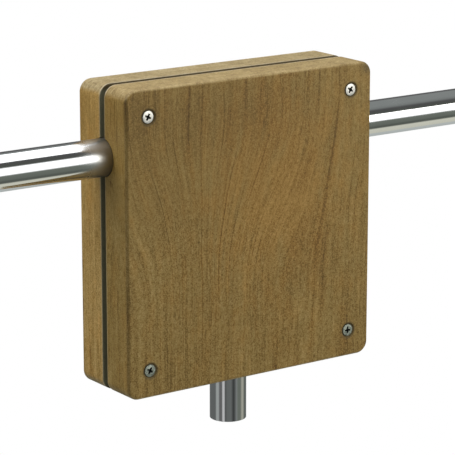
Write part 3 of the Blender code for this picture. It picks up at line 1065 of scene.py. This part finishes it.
def make_world():
    """Studio surroundings with the upright and level bands that the polished tubes mirror."""
    world = bpy.data.worlds.new("studio")
    world.use_nodes = True
    bpy.context.scene.world = world
    g = Graph(world.node_tree)
    split = g.node("ShaderNodeSeparateXYZ")
    g.feed(split.inputs[0], g.node("ShaderNodeTexCoord").outputs["Generated"])
    x, y, z = split.outputs
    toward_front = g.times(y, -1.0)
    azimuth = g.math("ARCTAN2", x, toward_front)
    climb = g.math("ARCTAN2", z, toward_front)
    upright = g.ramp(turn_share(g, azimuth), turn_stops(UPRIGHT_BANDS))
    level = g.ramp(turn_share(g, climb), turn_stops(LEVEL_BANDS))
    # The level tube mirrors directions with this much of +X, which get the level bands
    seen_in_rail = g.times(g.fade(x, 0.36, 0.46), g.fade(x, 0.68, 0.78, 1.0, 0.0))
    bands = g.mix(seen_in_rail, upright, level)
    above = g.mix(g.fade(z, 0.30, 0.75), bands, CEILING)
    colour = g.mix(seen_in_rail, above, bands)
    background = g.node("ShaderNodeBackground")
    g.feed(background.inputs["Color"], colour)
    background.inputs["Strength"].default_value = 1.0
    output = g.node("ShaderNodeOutputWorld")
    g.tree.links.new(background.outputs[0], output.inputs["Surface"])


def turn_share(g, angle):
    """An angle from -pi to pi as a share from 0 to 1."""
    return g.math("MULTIPLY_ADD", angle, 0.5 / math.pi, 0.5)


def turn_stops(bands):
    """Ramp stops from (degrees, brightness, tint) rows."""
    stops = []
    for degrees, brightness, tint in bands:
        stops.append((0.5 + degrees / 360, [brightness * part for part in tint]))
    return stops


def softbox(name, place, target, width, height, radiance, tint=PLAIN, mirrored=True):
    """A rectangular light facing the target, with this radiance, seen in the metal or not."""
    data = bpy.data.lights.new(name, "AREA")
    data.shape = "RECTANGLE"
    data.size = width
    data.size_y = height
    data.energy = radiance * math.pi * width * height
    data.color = tint
    obj = bpy.data.objects.new(name, data)
    facing = (Vector(target) - Vector(place)).to_track_quat("-Z", "Y").to_matrix().to_4x4()
    obj.matrix_world = Matrix.Translation(place) @ facing
    obj.visible_glossy = mirrored
    bpy.context.scene.collection.objects.link(obj)


def around_pad(azimuth, elevation, distance):
    """A place round the rail's middle, with the azimuth in degrees from -Y towards +X."""
    across = distance * math.cos(math.radians(elevation))
    return (
        across * math.sin(math.radians(azimuth)),
        -across * math.cos(math.radians(azimuth)),
        RAIL_HEIGHT + distance * math.sin(math.radians(elevation)),
    )


def make_lights():
    rail_middle = (0, 0, RAIL_HEIGHT)
    overhead = (-0.135, 0.10, RAIL_HEIGHT + 0.6)
    softbox("overhead", overhead, (-0.135, 0.10, 0), 1.23, 0.74, 1.7)
    right = around_pad(33, 12, 1.4)
    softbox("front_right", right, rail_middle, 1.2, 0.6, 2.55, tint=(1.0, 0.98, 0.89))
    left = around_pad(-104, 22, 1.4)
    softbox("left", left, rail_middle, 0.9, 0.9, 1.9, tint=(0.96, 1.0, 1.16), mirrored=False)


def make_camera():
    """A long lens from the front left, a little above the pad."""
    data = bpy.data.cameras.new("camera")
    data.sensor_width = 36
    data.lens = CAMERA_LENS
    data.clip_end = 60
    level = math.cos(CAMERA_ELEVATION)
    back = Vector(
        (
            math.sin(CAMERA_AZIMUTH) * level,
            -math.cos(CAMERA_AZIMUTH) * level,
            math.sin(CAMERA_ELEVATION),
        )
    )
    rotation = (-back).to_track_quat("-Z", "Y")
    right = rotation @ Vector((1, 0, 0))
    up = rotation @ Vector((0, 1, 0))
    camera = bpy.data.objects.new("camera", data)
    middle = Vector((0, 0, BOARD_MIDDLE))
    shift = right * CAMERA_RIGHT + up * CAMERA_UP
    camera.location = middle + back * CAMERA_DISTANCE + shift
    camera.rotation_mode = "QUATERNION"
    camera.rotation_quaternion = rotation
    bpy.context.scene.collection.objects.link(camera)
    bpy.context.scene.camera = camera


def main():
    bpy.context.scene.view_settings.view_transform = "Standard"
    make_camera()
    make_world()
    make_lights()
    make_stage()
    make_boards()
    rubber_finish = rubber("rubber_black")
    for half, side in HALVES:
        for place in ("left", "right", "lower"):
            make_liner(f"{half}_liner_{place}", side, rubber_finish)
    make_tubes()
    steel = fastener_steel("fastener_stainless")
    make_screws(steel)
    make_nuts(steel)
    make_washers(steel)


main()
